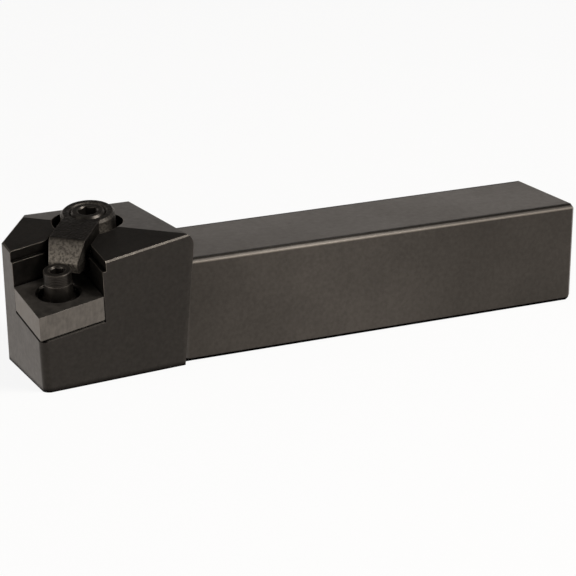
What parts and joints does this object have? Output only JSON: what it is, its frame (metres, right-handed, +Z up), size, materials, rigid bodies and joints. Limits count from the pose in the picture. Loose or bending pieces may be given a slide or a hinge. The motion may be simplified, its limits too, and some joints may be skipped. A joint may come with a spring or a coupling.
{
  "type": "turning tool holder",
  "caption": "Square-shank turning tool holder with an offset tilted head, a diamond insert pocket with seat and lock pin, and a finger clamp on a screw with opposite threads.",
  "frame": {"origin": "centre of the base of the square shank, half way along the shank", "axes": "+X along the shank towards its tail, +Y towards its back, +Z up; the cutting corner is at -X and -Y"},
  "size_m": [0.1137, 0.0247, 0.0274],
  "materials": {
    "black_steel": "black oxide, satin",
    "carbide": "ground sintered carbide",
    "forged_steel": "black oxide on a forged skin",
    "hardened_steel": "black oxide on turned steel"
  },
  "bodies": {
    "holder": {"holder_body": "black_steel", "seat": "carbide"},
    "clamp": {"clamp": "forged_steel"},
    "clamp_screw": {"clamp_screw": "hardened_steel"},
    "lock_pin": {"lock_pin": "hardened_steel"}
  },
  "joints": [
    {"name": "clamp_lift", "type": "slide", "parent": "holder", "child": "clamp", "axis": [-0.1289, -0.1289, 0.9833], "range_m": [0, 0.00544]},
    {"name": "clamp_screw_turn", "type": "hinge", "parent": "clamp", "child": "clamp_screw", "pos_m": [-0.05436, 0.00241, 0.02384], "axis": [-0.1289, -0.1289, 0.9833], "range_deg": [0, 1081]},
    {"name": "lock_pin_turn", "type": "hinge", "parent": "holder", "child": "lock_pin", "pos_m": [-0.06578, -0.00901, 0.02085], "axis": [-0.1289, -0.1289, 0.9833], "continuous": true}
  ],
  "couplings": [
    {"joint": "clamp_screw_turn", "follows": "clamp_lift", "rad_per_m": 3463.2}
  ]
}
